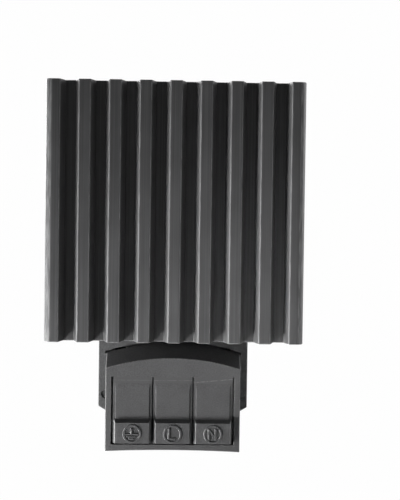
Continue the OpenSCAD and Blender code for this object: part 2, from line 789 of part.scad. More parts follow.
// Clamp spring: anchored on the strip, bent over, with a leg that leans back to pinch the wire
module clamp_spring(x) {
    bend = [strip_front_y - spring_t / 2 - spring_r, spring_top_z];
    tip_y = strip_front_y - spring_tip_gap;
    foot_z = spring_top_z - spring_foot_l;
    color(steel) side_extrude(x - spring_w / 2, x + spring_w / 2)
        polygon(concat([[strip_front_y, foot_z]], arc(bend, spring_r + spring_t / 2, 0, 90),
                       arc(bend, spring_r + spring_t / 2, 90, 180),
                       [[tip_y - spring_t, spring_tip_z], [tip_y, spring_tip_z]],
                       arc(bend, spring_r - spring_t / 2, 180, 90), arc(bend, spring_r - spring_t / 2, 90, 0),
                       [[strip_front_y - spring_t, foot_z]]));
}

module earth_spring() {
    clamp_spring(pole_x[0]);
}

module line_spring() {
    clamp_spring(pole_x[1]);
}

module neutral_spring() {
    clamp_spring(pole_x[2]);
}

// Pan head screw that points up, with its seat at z = 0
module pan_screw(r, grip) {
    rotate_extrude()
        polygon([[0, -screw_head_h], [screw_head_r - head_bevel, -screw_head_h],
                 [screw_head_r, -screw_head_h + head_bevel], [screw_head_r, 0], [r, 0], [r, grip - r],
                 [0, grip]]);
}

module earth_screw() {
    color(steel) translate([earth_screw_x, screws_y, bottom_z - strip_t])
        pan_screw(earth_screw_r, screw_grip + strip_t);
}

module base_screws() {
    color(steel) for (x = [-base_screw_x, base_screw_x])
        translate([x, screws_y, room_z1]) pan_screw(base_screw_r, screw_grip + base_top_t);
}

// Side outline of the clip: plate, upper hook and the catch below
module clip_outline() {
    back_y = rail_slot_y + hook_t;
    polygon([[-clip_t, clip_top_z], [-clip_t, -clip_top_z], [rail_slot_y, -clip_top_z],
             [back_y, -rail_top_z - 2 * lip_bevel], [back_y, -rail_top_z - lip_bevel],
             [rail_slot_y + lip_bevel, -rail_top_z + catch_reach], [rail_slot_y, -rail_top_z + catch_reach],
             [rail_slot_y, -rail_top_z], [0, -rail_top_z], [0, rail_top_z], [rail_slot_y, rail_top_z],
             [rail_slot_y, rail_top_z - hook_reach + lip_bevel],
             [back_y - lip_bevel, rail_top_z - hook_reach],
             [back_y, rail_top_z - hook_reach + lip_bevel], [back_y, clip_top_z - hook_bevel],
             [back_y - hook_bevel, clip_top_z]]);
}

// Countersunk screw that points to the front, with its head flush at y = 0
module countersunk(r, head_r, depth) {
    rotate([90, 0, 0]) rotate_extrude()
        polygon([[0, 0], [head_r, 0], [r, head_r - r], [r, depth], [0, depth]]);
}

// Rail clip: a plate with a fixed hook above, and below it a tongue with the catch and its pull tab
module din_clip() {
    foot_z = -clip_top_z - pull_h;
    pull_y = -clip_t + pull_setback;
    color(black_plastic) difference() {
        union() {
            side_extrude(-clip_w / 2, clip_w / 2) clip_outline();
            box([-pull_w / 2, pull_y, foot_z], [pull_w / 2, pull_y + pull_t, -clip_top_z + root]);
        }
        for (x = [-1, 1])
            translate([x * (tongue_w + tongue_slit) / 2 - tongue_slit / 2, -clip_t - through,
                       -clip_top_z - through])
                cube([tongue_slit, clip_t + rail_slot_y + hook_t + 2 * through, tongue_l + through]);
        box([-pull_slot_w / 2, pull_y - through, foot_z + pull_foot_h],
            [pull_slot_w / 2, pull_y + pull_t + through, foot_z + pull_foot_h + pull_slot_h]);
        for (z = [-1, 1])
            translate([0, 0, z * clip_screw_pitch / 2])
                countersunk(clip_screw_r + slide_gap, screw_head_r + slide_gap, clip_t + through);
    }
}

module clip_screws() {
    color(steel) for (z = [-1, 1])
        translate([0, 0, z * clip_screw_pitch / 2])
            countersunk(clip_screw_r, screw_head_r, clip_t + clip_screw_grip);
}

heatsink();
ptc_stones();
electrode_front();
electrode_rear();
insulation_sleeve();
pressure_plate();
channel_plug();
line_lead();
neutral_lead();
terminal_base();
terminal_cover();
earth_lever();
line_lever();
neutral_lever();
earth_contact();
line_contact();
neutral_contact();
earth_spring();
line_spring();
neutral_spring();
earth_screw();
base_screws();
din_clip();
clip_screws();
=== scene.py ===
"""Looks of an enclosure heater: a finned black extrusion with a lever terminal under it.

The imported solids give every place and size. This script breaks their edges, adds the raised
pole signs, the film hinges and the screw recesses, paints each finish with nodes and sets up the
studio.
"""

import json
import logging
import math
from collections.abc import Callable
from dataclasses import dataclass, field
from enum import Enum

import bmesh
import bpy
from mathutils import Matrix, Vector

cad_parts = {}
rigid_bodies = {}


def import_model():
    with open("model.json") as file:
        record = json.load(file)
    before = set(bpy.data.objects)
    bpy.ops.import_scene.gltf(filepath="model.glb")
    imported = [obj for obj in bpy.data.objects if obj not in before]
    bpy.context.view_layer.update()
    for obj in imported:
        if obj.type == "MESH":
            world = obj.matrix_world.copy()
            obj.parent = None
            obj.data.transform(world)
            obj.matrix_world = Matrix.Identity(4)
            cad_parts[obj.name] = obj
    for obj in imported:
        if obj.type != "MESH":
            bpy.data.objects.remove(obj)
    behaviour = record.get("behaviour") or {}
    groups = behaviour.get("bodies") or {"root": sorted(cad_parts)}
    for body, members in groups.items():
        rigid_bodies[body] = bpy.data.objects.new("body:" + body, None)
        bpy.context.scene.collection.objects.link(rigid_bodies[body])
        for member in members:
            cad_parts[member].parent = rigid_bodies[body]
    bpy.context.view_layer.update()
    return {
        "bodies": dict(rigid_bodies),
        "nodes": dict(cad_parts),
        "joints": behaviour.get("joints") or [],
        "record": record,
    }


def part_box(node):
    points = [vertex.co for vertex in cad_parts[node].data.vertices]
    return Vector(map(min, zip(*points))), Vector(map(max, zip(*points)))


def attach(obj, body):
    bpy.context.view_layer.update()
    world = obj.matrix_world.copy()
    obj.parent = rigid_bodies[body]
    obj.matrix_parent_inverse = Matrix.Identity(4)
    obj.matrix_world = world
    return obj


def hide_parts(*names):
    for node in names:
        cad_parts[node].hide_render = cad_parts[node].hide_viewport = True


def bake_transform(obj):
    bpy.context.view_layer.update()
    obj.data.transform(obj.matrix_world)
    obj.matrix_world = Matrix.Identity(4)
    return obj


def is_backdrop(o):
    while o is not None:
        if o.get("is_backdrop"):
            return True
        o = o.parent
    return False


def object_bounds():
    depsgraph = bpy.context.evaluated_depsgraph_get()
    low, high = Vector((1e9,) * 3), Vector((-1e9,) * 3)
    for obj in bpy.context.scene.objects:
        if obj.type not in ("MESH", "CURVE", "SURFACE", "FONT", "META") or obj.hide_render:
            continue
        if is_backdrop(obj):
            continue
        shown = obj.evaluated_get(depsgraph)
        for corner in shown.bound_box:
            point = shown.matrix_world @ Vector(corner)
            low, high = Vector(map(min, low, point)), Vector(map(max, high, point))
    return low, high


LOG = logging.getLogger("heater")
HOUSING = "housing"
MM = 0.001
# Face layers: rounded edges, partly wear and partly a painted highlight, with a painted highlight
# on the extrusion's corner rounds; and faces that take a painted highlight
WEAR_AND_HIGHLIGHT = "wear_and_highlight"
PAINTED_HIGHLIGHT = "drawn"
# Points closer than this are one point
WELD = 0.002 * MM
# Where most of a noise texture's values lie, and their middle
NOISE_LOW, NOISE_HIGH, NOISE_MIDDLE = 0.25, 0.75, 0.5
# Sockets of the Mix node when it mixes colours
MIX_SHARE, MIX_LOW, MIX_HIGH, MIX_RESULT = 0, 6, 7, 2
# Ways to face
ABOVE = Vector((0.0, 0.0, 1.0))
BELOW = Vector((0.0, 0.0, -1.0))
BEHIND = Vector((0.0, 1.0, 0.0))
Triple = tuple[float, float, float]
Colour = Triple
Point = tuple[float, float]
Span = tuple[float, float]


class Value:
    """A socket's output, with Python's operators as Math nodes."""

    def __init__(self, sheet: "NodeSheet", socket: bpy.types.NodeSocket) -> None:
        """Keeps the socket and the sheet that takes its Math nodes."""
        self.sheet = sheet
        self.socket = socket

    def _math(self, operation: str, *operands: "Value | float") -> "Value":
        """One Math node on these operands."""
        settings = {"operation": operation}
        return self.sheet.value("ShaderNodeMath", settings, dict(enumerate(operands)))

    def __add__(self, other: "Value | float") -> "Value":
        """The sum of two values."""
        return self._math("ADD", self, other)

    def __radd__(self, other: float) -> "Value":
        """The sum of a number and this value."""
        return self._math("ADD", other, self)

    def __sub__(self, other: "Value | float") -> "Value":
        """This value less another."""
        return self._math("SUBTRACT", self, other)

    def __rsub__(self, other: float) -> "Value":
        """A number less this value."""
        return self._math("SUBTRACT", other, self)

    def __mul__(self, other: "Value | float") -> "Value":
        """The product of two values."""
        return self._math("MULTIPLY", self, other)

    def __rmul__(self, other: float) -> "Value":
        """The product of a number and this value."""
        return self._math("MULTIPLY", other, self)

    def __abs__(self) -> "Value":
        """The size of this value without its sign."""
        return self._math("ABSOLUTE", self)

    def larger(self, other: "Value | float") -> "Value":
        """The larger of two values."""
        return self._math("MAXIMUM", self, other)

    def eased(self, low: float, high: float) -> "Value":
        """A smooth step of this value.

        Args:
            low: The value at which the step is 0.
            high: The value at which the step is 1.

        Returns:
            A value from 0 to 1.
        """
        limits = {"Value": self, "From Min": low, "From Max": high}
        return self.sheet.value("ShaderNodeMapRange", {"interpolation_type": "SMOOTHSTEP"}, limits)


class NodeSheet:
    """The node tree of one material or of the world."""

    def __init__(self, tree: bpy.types.NodeTree) -> None:
        """Empties the tree and keeps it."""
        tree.nodes.clear()
        self.tree = tree

    def node(self, kind: str, settings: dict | None = None,
             inputs: dict | None = None) -> bpy.types.Node:
        """Adds a node.

        Args:
            kind: The node's type.
            settings: Its own settings, which are set first.
            inputs: A value, number or colour for each named or numbered socket.

        Returns:
            The new node.
        """
        made = self.tree.nodes.new(kind)
        for name, setting in (settings or {}).items():
            setattr(made, name, setting)
        for key, given in (inputs or {}).items():
            if isinstance(given, Value):
                self.tree.links.new(given.socket, made.inputs[key])
            else:
                made.inputs[key].default_value = given
        return made

    def value(self, kind: str, settings: dict | None = None, inputs: dict | None = None,
              output: int | str = 0) -> Value:
        """Adds a node and gives one of its outputs."""
        return Value(self, self.node(kind, settings, inputs).outputs[output])

    def place(self, x: float = 1.0, y: float = 1.0, z: float = 1.0) -> Value:
        """The place on the object, counted in steps.

        Args:
            x: The length of a step along X, in millimetres.
            y: The length of a step along Y.
            z: The length of a step along Z.

        Returns:
            A vector of counts.
        """
        at = self.value("ShaderNodeTexCoord", output="Object")
        steps = tuple(1.0 / (size * MM) for size in (x, y, z))
        return self.value("ShaderNodeVectorMath", {"operation": "MULTIPLY"}, {0: at, 1: steps})

    def part(self, vector: Value, axis: str) -> Value:
        """One component of a vector."""
        return self.value("ShaderNodeSeparateXYZ", inputs={0: vector}, output=axis)

    def marked(self, layer: str) -> Value:
        """1 on the faces that a layer of the mesh marks, and 0 elsewhere."""
        return self.value("ShaderNodeAttribute", {"attribute_name": layer}, output="Fac")

    def facing(self, axis: str) -> Value:
        """How far the surface faces along an axis of the object."""
        return self.part(self.value("ShaderNodeNewGeometry", output="Normal"), axis)

    def noise(self, at: Value, detail: float = 2.0, roughness: float = 0.5) -> Value:
        """Noise from 0 to 1, with features about one step of the given place in size."""
        settings = {"Vector": at, "Scale": 1.0, "Detail": detail, "Roughness": roughness}
        return self.value("ShaderNodeTexNoise", inputs=settings)

    def mix(self, share: Value, low: "Value | Colour", high: "Value | Colour") -> Value:
        """A colour between two.

        Args:
            share: 0 for the first colour and 1 for the second.
            low: The first colour.
            high: The second colour.

        Returns:
            The mixed colour.
        """
        ends = [end if isinstance(end, Value) else (*end, 1.0) for end in (low, high)]
        inputs = {MIX_SHARE: share, MIX_LOW: ends[0], MIX_HIGH: ends[1]}
        return self.value("ShaderNodeMix", {"data_type": "RGBA"}, inputs, output=MIX_RESULT)

    def toned(self, share: Value, colour: Colour, spread: float) -> Value:
        """A colour that a share from 0 to 1 makes darker or lighter by up to a spread."""
        return self.mix(share, shaded(colour, 1.0 - spread), shaded(colour, 1.0 + spread))

    def bump(self, height: Value, depth: float) -> Value:
        """A normal that follows a height, where depth is the relief in millimetres."""
        inputs = {"Height": height, "Distance": depth * MM, "Strength": 1.0}
        return self.value("ShaderNodeBump", inputs=inputs)

    def looked_at(self) -> Value:
        """Tells what looks at a surface from the light that falls on things.

        Returns:
            1 for rays from the camera, a mirror or glass, and 0 for other rays.
        """
        path = self.node("ShaderNodeLightPath")
        seen = Value(self, path.outputs["Is Camera Ray"])
        for ray in ("Is Glossy Ray", "Is Transmission Ray"):
            seen = seen.larger(Value(self, path.outputs[ray]))
        return seen

    def surface(self, inputs: dict) -> None:
        """Ends a material in one principled shader with these inputs."""
        shader = self.value("ShaderNodeBsdfPrincipled", inputs=inputs)
        self.node("ShaderNodeOutputMaterial", inputs={"Surface": shader})


def shaded(colour: Colour, factor: float) -> Colour:
    """A colour made lighter or darker."""
    return tuple(part * factor for part in colour)


@dataclass(frozen=True)
class Finish:
    """What each finish has: a name, a colour, a roughness and a reflection strength.

    The sizes of grains, lines and reliefs are in millimetres.
    """

    name: str
    colour: Colour
    roughness: float
    specular: float = 0.5

    def material(self) -> bpy.types.Material:
        """Makes the finish's material on first use.

        Returns:
            The material, which is the same one each time.
        """
        title = f"{self.name}_finish"
        made = bpy.data.materials.get(title)
        if made is None:
            made = bpy.data.materials.new(title)
            made.use_nodes = True
            self.paint(NodeSheet(made.node_tree))
        return made

    def paint(self, sheet: NodeSheet) -> None:
        """Draws the finish's nodes on a sheet."""
        raise NotImplementedError


@dataclass(frozen=True)
class AnodisedExtrusion(Finish):
    """Black anodised aluminium with die lines along its length and saw marks on its cut ends."""

    line_w: float = 0.6
    line_run: float = 160.0
    line_depth: float = 0.012
    line_share: float = 0.75
    saw_w: float = 0.3
    saw_run: float = 30.0
    cut_turn: Span = (0.6, 0.9)
    cloud: float = 14.0
    spread: float = 0.28
    uneven: float = 0.14
    # Painted highlight: the paler colour of the flanks between fins
    drawn: Colour = (0.105, 0.105, 0.106)
    # Bare colour of the rounded edges, partly wear and partly a painted highlight, and a painted
    # highlight on the corner rounds
    bare_and_highlight: Colour = (0.16, 0.16, 0.162)
    patch_w: float = 0.75
    patch_run: float = 6.0
    patch_range: Span = (0.35, 0.65)
    patch_least: float = 0.35

    def paint(self, sheet: NodeSheet) -> None:
        """Draws the die lines, saw marks and dye cloudiness, painted highlights on flanks and
        corner rounds, and edges partly worn bare, partly painted highlight.

        Args:
            sheet: The material's sheet.
        """
        lines = sheet.noise(sheet.place(self.line_w, self.line_w, self.line_run),
                            detail=3.0, roughness=0.65)
        sawn = sheet.noise(sheet.place(self.saw_run, self.saw_w, self.saw_w))
        cut = abs(sheet.facing("Z")).eased(*self.cut_turn)
        marks = lines * (1.0 - cut) + sawn * cut
        clouds = sheet.noise(sheet.place(self.cloud, self.cloud, self.cloud), detail=1.0)
        share = marks * self.line_share + clouds * (1.0 - self.line_share)
        dye = share.eased(NOISE_LOW, NOISE_HIGH)
        # Painted highlight: the marked flanks between fins take the paler colour
        dye_and_flank_highlight = sheet.mix(sheet.marked(PAINTED_HIGHLIGHT), sheet.toned(dye, self.colour, self.spread),
                         sheet.toned(dye, self.drawn, self.spread))
        # Patches of bare colour: partly wear and partly a painted highlight on the rounded edges, a
        # painted highlight on the corner rounds
        patches = sheet.noise(sheet.place(self.patch_w, self.patch_w, self.patch_run), detail=3.0)
        patchy_wear_and_highlight = self.patch_least + patches.eased(*self.patch_range) * (1.0 - self.patch_least)
        sheet.surface({
            "Base Color": sheet.mix(sheet.marked(WEAR_AND_HIGHLIGHT) * patchy_wear_and_highlight, dye_and_flank_highlight, self.bare_and_highlight),
            "Roughness": self.roughness + (marks - NOISE_MIDDLE) * self.uneven,
            "Specular IOR Level": self.specular,
            "Normal": sheet.bump(marks, self.line_depth),
        })


@dataclass(frozen=True)
class MouldedPlastic(Finish):
    """Matte moulded plastic with a fine spark-eroded grain and a faint flow pattern."""

    grain: float = 0.45
    grain_depth: float = 0.025
    grain_share: float = 0.75
    flow: float = 7.0
    spread: float = 0.24
    uneven: float = 0.12
    # Painted highlight colour of the marked faces, also of the burnished edges, which are partly
    # wear and partly a painted highlight
    smooth: Colour = (0.17, 0.17, 0.171)
    burnish_and_highlight: float = 0.45
    burnish_and_highlight_range: Span = (0.3, 0.7)

    def paint(self, sheet: NodeSheet) -> None:
        """Draws the grain, the flow pattern, a painted highlight on the marked faces, and burnished
        edges that are partly wear and partly a painted highlight.

        Args:
            sheet: The material's sheet.
        """
        grain = sheet.noise(sheet.place(self.grain, self.grain, self.grain),
                            detail=3.0, roughness=0.6)
        flow = sheet.noise(sheet.place(self.flow, self.flow, self.flow))
        share = grain * self.grain_share + flow * (1.0 - self.grain_share)
        colour = sheet.toned(share.eased(NOISE_LOW, NOISE_HIGH), self.colour, self.spread)
        # Painted highlight on the marked faces; burnished edges, partly wear and partly a painted
        # highlight
        burnished_and_highlit = sheet.marked(WEAR_AND_HIGHLIGHT) * grain.eased(*self.burnish_and_highlight_range) * self.burnish_and_highlight
        bright = sheet.marked(PAINTED_HIGHLIGHT).larger(burnished_and_highlit)
        sheet.surface({
            "Base Color": sheet.mix(bright, colour, self.smooth),
            "Roughness": self.roughness + (grain - NOISE_MIDDLE) * self.uneven,
            "Specular IOR Level": self.specular,
            "Normal": sheet.bump(grain, self.grain_depth),
        })


@dataclass(frozen=True)
class StressedFilm(Finish):
    """The film of plastic at a lever's hinge, whitened along its crease."""

    crease_z: float = 0.0
    crease_slope: float = 0.0
    crease_x: float = 0.0
    crease_w: float = 0.22
    wander: float = 0.35
    drift: Triple = (1.6, 40.0, 40.0)
    gap: Triple = (0.9, 5.0, 5.0)
    gap_range: Span = (0.3, 0.62)
    grain: float = 0.35
    grain_depth: float = 0.02
    uneven: float = 0.12
    white: Colour = (0.14, 0.14, 0.14)
    strength: float = 1.0

    def paint(self, sheet: NodeSheet) -> None:
        """Draws a wandering pale crease on the grain of the plastic around it.

        Args:
            sheet: The material's sheet.
        """
        at = sheet.place()
        drift = sheet.noise(sheet.place(*self.drift), detail=3.0) - NOISE_MIDDLE
        slant = (sheet.part(at, "X") - self.crease_x) * self.crease_slope
        off = abs(sheet.part(at, "Z") - (slant + self.crease_z + drift * self.wander))
        broken = sheet.noise(sheet.place(*self.gap)).eased(*self.gap_range)
        crease = (1.0 - off.eased(0.0, self.crease_w)) * broken * self.strength
        grain = sheet.noise(sheet.place(self.grain, self.grain, self.grain),
                            detail=3.0, roughness=0.6)
        sheet.surface({
            "Base Color": sheet.mix(crease, self.colour, self.white),
            "Roughness": self.roughness + (grain - NOISE_MIDDLE) * self.uneven,
            "Specular IOR Level": self.specular,
            "Normal": sheet.bump(grain, self.grain_depth),
        })


@dataclass(frozen=True)
class BareMetal(Finish):
    """Bare, plated or rolled metal with fine rolling lines."""

    line: Triple = (0.12, 0.12, 4.0)
    line_depth: float = 0.004
    line_shade: float = 0.82
    uneven: float = 0.2

    def paint(self, sheet: NodeSheet) -> None:
        """Draws the rolling lines.

        Args:
            sheet: The material's sheet.
        """
        lines = sheet.noise(sheet.place(*self.line))
        sheet.surface({
            "Base Color": sheet.mix(lines, shaded(self.colour, self.line_shade), self.colour),
            "Metallic": 1.0,
            "Roughness": self.roughness + (lines - NOISE_MIDDLE) * self.uneven,
            "Normal": sheet.bump(lines, self.line_depth),
        })


@dataclass(frozen=True)
class Speckled(Finish):
    """Rubber, ceramic, film and lead insulation: a plain body colour with soft speckles."""

    speck: float = 0.4
    speck_range: Span = (0.3, 0.7)
    contrast: float = 0.2
    uneven: float = 0.1
    depth: float = 0.01

    def paint(self, sheet: NodeSheet) -> None:
        """Draws the speckles.

        Args:
            sheet: The material's sheet.
        """
        specks = sheet.noise(sheet.place(self.speck, self.speck, self.speck), detail=3.0)
        sheet.surface({
            "Base Color": sheet.toned(specks.eased(*self.speck_range), self.colour, self.contrast),
            "Roughness": self.roughness + (specks - NOISE_MIDDLE) * self.uneven,
            "Specular IOR Level": self.specular,
            "Normal": sheet.bump(specks, self.depth),
        })


ANODISED = AnodisedExtrusion("anodised_black", (0.058, 0.058, 0.059), 0.42, 0.1)
HOUSING_PLASTIC = MouldedPlastic("housing_plastic", (0.057, 0.057, 0.058), 0.58, 0.12)
LEVER_PLASTIC = MouldedPlastic("lever_plastic", (0.055, 0.055, 0.056), 0.5, 0.12, flow=4.0,
                               burnish_and_highlight=0.1)
CLIP_PLASTIC = MouldedPlastic("clip_plastic", (0.06, 0.06, 0.062), 0.5, 0.4, grain=0.5)
TINNED = BareMetal("tinned_brass", (0.62, 0.6, 0.55), 0.34)
SPRING_STEEL = BareMetal("spring_steel", (0.56, 0.57, 0.58), 0.3)
SCREW_ZINC = BareMetal("screw_zinc", (0.62, 0.63, 0.65), 0.32, line=(0.5, 0.5, 0.5))
PLATE_ALUMINIUM = BareMetal("plate_aluminium", (0.62, 0.62, 0.63), 0.4)
STONE = Speckled("heating_stone", (0.27, 0.24, 0.2), 0.75, 0.3)
FILM = Speckled("insulating_film", (0.5, 0.22, 0.03), 0.25, contrast=0.08, speck=3.0)
SILICONE = Speckled("silicone_plug", (0.05, 0.05, 0.052), 0.65, 0.35, speck=1.2)
LEAD = Speckled("lead_insulation", (0.3, 0.16, 0.09), 0.5, 0.4, speck=0.8)


class Pole(Enum):
    """The three poles of the terminal."""

    EARTH = "earth"
    LINE = "line"
    NEUTRAL = "neutral"

    @property
    def lever(self) -> str:
        """The lever's node, which is also its body."""
        return f"{self.value}_lever"

    @property
    def contact(self) -> str:
        """The contact strip's node."""
        return f"{self.value}_contact"

    @property
    def spring(self) -> str:
        """The clamp spring's node."""
        return f"{self.value}_spring"


def paint_node(frame: dict, node: str, finish: Finish) -> None:
    """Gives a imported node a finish.

    Args:
        node: The node's name.
        finish: Its finish.
    """
    held = frame["nodes"][node]
    if not held.material_slots:
        held.data.materials.append(finish.material())
    for slot in held.material_slots:
        slot.material = finish.material()
    LOG.info("%s painted as %s", node, finish.name)


def shown(work: bmesh.types.BMesh, name: str, smooth_below: float = 50.0) -> bpy.types.Object:
    """Makes a smooth shaded object of a mesh in work, and frees it.

    Args:
        work: The mesh.
        name: The object's name.
        smooth_below: Edges that turn more than so many degrees stay sharp.

    Returns:
        The object, linked to the scene.
    """
    bmesh.ops.recalc_face_normals(work, faces=work.faces)
    mesh = bpy.data.meshes.new(name)
    work.to_mesh(mesh)
    work.free()
    packed_normals = mesh.attributes.get("custom_normal")
    if packed_normals is not None:
        mesh.attributes.remove(packed_normals)
    mesh.shade_smooth()
    mesh.set_sharp_from_angle(angle=math.radians(smooth_below))
    piece = bpy.data.objects.new(name, mesh)
    bpy.context.scene.collection.objects.link(piece)
    evened = piece.modifiers.new("even_normals", "WEIGHTED_NORMAL")
    evened.keep_sharp = True
    return piece


def welded(frame: dict, node: str, flat: float = 0.4) -> bmesh.types.BMesh:
    """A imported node's mesh with its flat faces whole again.

    Args:
        node: The node's name.
        flat: Faces that meet at fewer degrees become one.

    Returns:
        A mesh in work, whose edges are the solid's edges.
    """
    work = bmesh.new()
    work.from_mesh(frame["nodes"][node].data)
    bmesh.ops.remove_doubles(work, verts=work.verts, dist=WELD)
    bmesh.ops.dissolve_limit(work, angle_limit=math.radians(flat), verts=work.verts,
                             edges=work.edges)
    return work


def break_edges(work: bmesh.types.BMesh, radius: float, segments: int = 2,
                above: float = 35.0,
                chosen: Callable[[Vector, Vector], bool] = lambda a, b: True) -> None:
    """Rounds the sharp outer edges of a mesh in work, and marks the rounds as worn edges that also
    take a painted highlight.

    Args:
        work: The mesh.
        radius: Size of the round, in metres.
        segments: Faces across each round.
        above: Edges that turn more than so many degrees are rounded.
        chosen: Says whether an edge between two points is one of those to round.
    """
    wear_and_highlight = work.faces.layers.float.get(WEAR_AND_HIGHLIGHT) or work.faces.layers.float.new(WEAR_AND_HIGHLIGHT)
    limit = math.radians(above)
    sharp = [edge for edge in work.edges if edge.is_convex and edge.calc_face_angle() > limit
             and chosen(edge.verts[0].co, edge.verts[1].co)]
    made = bmesh.ops.bevel(work, geom=sharp, offset=radius, offset_type="OFFSET", segments=segments,
                           profile=0.5, affect="EDGES", clamp_overlap=False)
    for face in made["faces"]:
        face[wear_and_highlight] = 1.0
    bmesh.ops.remove_doubles(work, verts=work.verts, dist=WELD)


def mark_faces(work: bmesh.types.BMesh, layer: str,
               chosen: Callable[[Vector, Vector], bool]) -> None:
    """Marks faces of a mesh in work.

    Args:
        work: The mesh.
        layer: The face layer that takes the marks.
        chosen: Says whether a face with this middle and this normal is one of those to mark.
    """
    marks = work.faces.layers.float.get(layer) or work.faces.layers.float.new(layer)
    work.normal_update()
    for face in work.faces:
        if chosen(face.calc_center_median(), face.normal):
            face[marks] = 1.0


def dress(piece: bpy.types.Object, body: str, finish: Finish, slot: str, *nodes: str) -> None:
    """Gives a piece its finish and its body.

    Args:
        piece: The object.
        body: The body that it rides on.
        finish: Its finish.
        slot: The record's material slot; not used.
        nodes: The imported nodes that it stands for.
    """
    piece.data.materials.append(finish.material())
    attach(piece, body)
    if nodes:
        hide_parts(*nodes)
    LOG.info("%s on %s, %d faces", piece.name, body, len(piece.data.polygons))


@dataclass(frozen=True)
class Inset:
    """How far places lie inside a node's box."""

    low: Vector
    high: Vector

    def side(self, at: Vector) -> float:
        """The way from a place to the nearer of the box's left and right."""
        return min(at.x - self.low.x, self.high.x - at.x)

    def depth(self, at: Vector) -> float:
        """The way from a place to the nearer of the box's front and back."""
        return min(at.y - self.low.y, self.high.y - at.y)


@dataclass
class Extrusion:
    """The finned extrusion, with the edges of its fins and cut ends broken."""

    frame: dict
    fin_edge: float = 0.35 * MM
    cut_edge: float = 0.28 * MM
    level: float = 0.07 * MM
    skin: float = 8.0 * MM
    end_w: float = 3.0 * MM
    end_r: float = 2.7 * MM
    flank_turn: float = 0.6
    corner_turn: Span = (0.12, 0.995)

    def build(self) -> None:
        """Builds and dresses the extrusion."""
        within = Inset(*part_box("heatsink"))
        work = welded(self.frame, "heatsink")
        break_edges(work, self.fin_edge, segments=3, chosen=lambda a, b: self._on_fin(a, b, within))
        break_edges(work, self.cut_edge, chosen=lambda a, b: abs(a.z - b.z) < self.level)
        # Painted highlight on the flanks between fins
        mark_faces(work, PAINTED_HIGHLIGHT, lambda middle, normal: self._on_flank(middle, normal, within))
        # Painted highlight: the large corner rounds take the bare colour
        mark_faces(work, WEAR_AND_HIGHLIGHT, lambda middle, normal: self._on_corner(middle, normal, within))
        dress(shown(work, "finned_extrusion"), HOUSING, ANODISED, "anodised_aluminium", "heatsink")

    def _on_fin(self, a: Vector, b: Vector, within: Inset) -> bool:
        """Whether an edge runs along the extrusion in one of its two finned sides."""
        return abs(a.z - b.z) > self.skin and within.depth(a) < self.skin

    def _on_flank(self, middle: Vector, normal: Vector, within: Inset) -> bool:
        """Whether a face is a flank between fins, which takes a painted highlight paler than the
        tips.
        """
        finned = within.side(middle) > self.end_w and within.depth(middle) < self.skin
        return finned and abs(normal.x) > self.flank_turn

    def _on_corner(self, middle: Vector, normal: Vector, within: Inset) -> bool:
        """Whether a face is on the large round of a long corner, which takes a painted highlight.
        """
        near = max(within.side(middle), within.depth(middle)) < self.end_r
        return near and self.corner_turn[0] < abs(normal.x) < self.corner_turn[1]


@dataclass
class HeatingStack:
    """The pieces in the heating channel, which stay as packed."""

    frame: dict
    finishes: dict[str, Finish] = field(default_factory=lambda: {
        "ptc_stones": STONE,
        "electrode_front": TINNED,
        "electrode_rear": TINNED,
        "insulation_sleeve": FILM,
        "pressure_plate": PLATE_ALUMINIUM,
        "channel_plug": SILICONE,
        "line_lead": LEAD,
        "neutral_lead": LEAD,
    })

    def build(self) -> None:
        """Paints the stack's nodes."""
        for node, finish in self.finishes.items():
            paint_node(self.frame, node, finish)


@dataclass
class TerminalHousing:
    """The plastic base and its front cover."""

    frame: dict
    base_edge: float = 0.25 * MM
    cover_edge: float = 0.28 * MM
    side_w: float = 0.9 * MM
    front_turn: float = 0.15
    side_turn: float = 0.3

    def build(self) -> None:
        """Builds and dresses the base and the cover."""
        base = welded(self.frame, "terminal_base")
        break_edges(base, self.base_edge)
        dress(shown(base, "base_moulding"), HOUSING, HOUSING_PLASTIC, "black_plastic",
              "terminal_base")
        cover = welded(self.frame, "terminal_cover")
        break_edges(cover, self.cover_edge, segments=3)
        within = Inset(*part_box("terminal_cover"))
        # Painted highlight on the rounds of the cover's outer front edges
        mark_faces(cover, PAINTED_HIGHLIGHT, lambda middle, normal: self._on_side_edge(middle, normal, within))
        dress(shown(cover, "cover_moulding"), HOUSING, HOUSING_PLASTIC, "black_plastic",
              "terminal_cover")

    def _on_side_edge(self, middle: Vector, normal: Vector, within: Inset) -> bool:
        """Whether a face is on the round of an outer front edge, which takes a painted highlight.
        """
        outward = normal.y < -self.front_turn and abs(normal.x) > self.side_turn
        return outward and within.side(middle) < self.side_w


